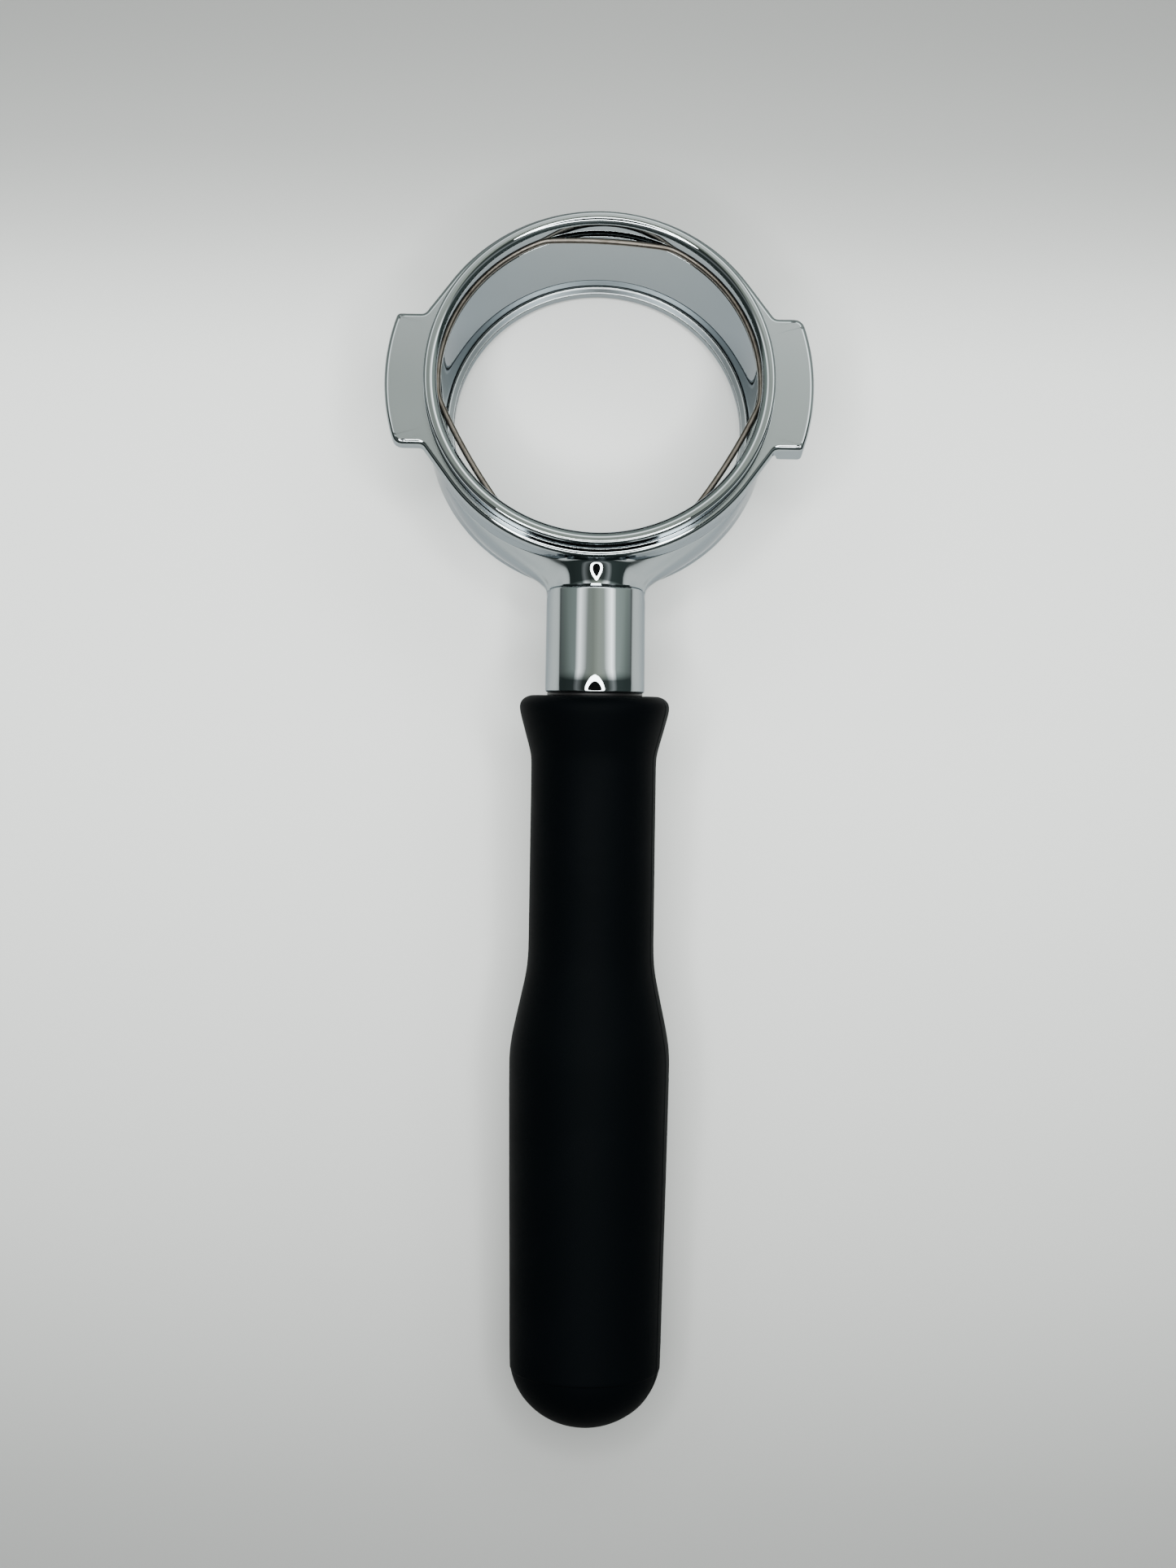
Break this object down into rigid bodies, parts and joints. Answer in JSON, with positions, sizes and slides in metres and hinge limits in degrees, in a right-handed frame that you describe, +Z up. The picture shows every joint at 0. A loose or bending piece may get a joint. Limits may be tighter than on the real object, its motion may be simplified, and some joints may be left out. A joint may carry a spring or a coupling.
{
  "type": "portafilter",
  "caption": "Open-bottomed espresso portafilter: chromed head with bayonet lugs, basket retaining spring and a screwed-on black soft-touch handle.",
  "frame": {"origin": "on the bore axis, in the bottom plane of the barrel, at the centre of the outlet opening", "axes": "+Z up along the bore towards the rim, the handle leaves towards -Y and falls 14 degrees below the bottom plane, the two bayonet lugs on +X and -X"},
  "size_m": [0.0824, 0.2321, 0.0645],
  "materials": {
    "chromed_brass": "polished chrome plate over cast brass, fine turning marks on the flange",
    "spring_steel": "drawn wire, brown-grey from heat and coffee oils",
    "washer_black": "satin black fibre",
    "zinc_steel": "machined steel",
    "insert_brass": "machined brass",
    "nylon_black": "moulded black nylon",
    "soft_touch_black": "fine-textured soft-touch elastomer"
  },
  "bodies": {
    "head": {"filter_body": "chromed_brass"},
    "spring": {"basket_spring": "spring_steel"},
    "washer": {"neck_washer": "washer_black"},
    "handle": {"handle_stud": "zinc_steel", "thread_insert": "insert_brass", "handle_core": "nylon_black", "grip_skin": "soft_touch_black"}
  },
  "joints": [
    {"name": "spring_turn", "type": "hinge", "parent": "head", "child": "spring", "pos_m": [0, 0, 0.0265], "axis": [0, 0, 1], "continuous": true},
    {"name": "handle_travel", "type": "slide", "parent": "head", "child": "washer", "axis": [0, -0.9703, -0.2419], "range_m": [0, 0.0105]},
    {"name": "handle_screw", "type": "hinge", "parent": "washer", "child": "handle", "pos_m": [0, -0.05835, 0.01221], "axis": [0, -0.9703, -0.2419], "range_deg": [0, 2160]}
  ],
  "couplings": [
    {"joint": "handle_screw", "follows": "handle_travel", "rad_per_m": 3590.4}
  ]
}
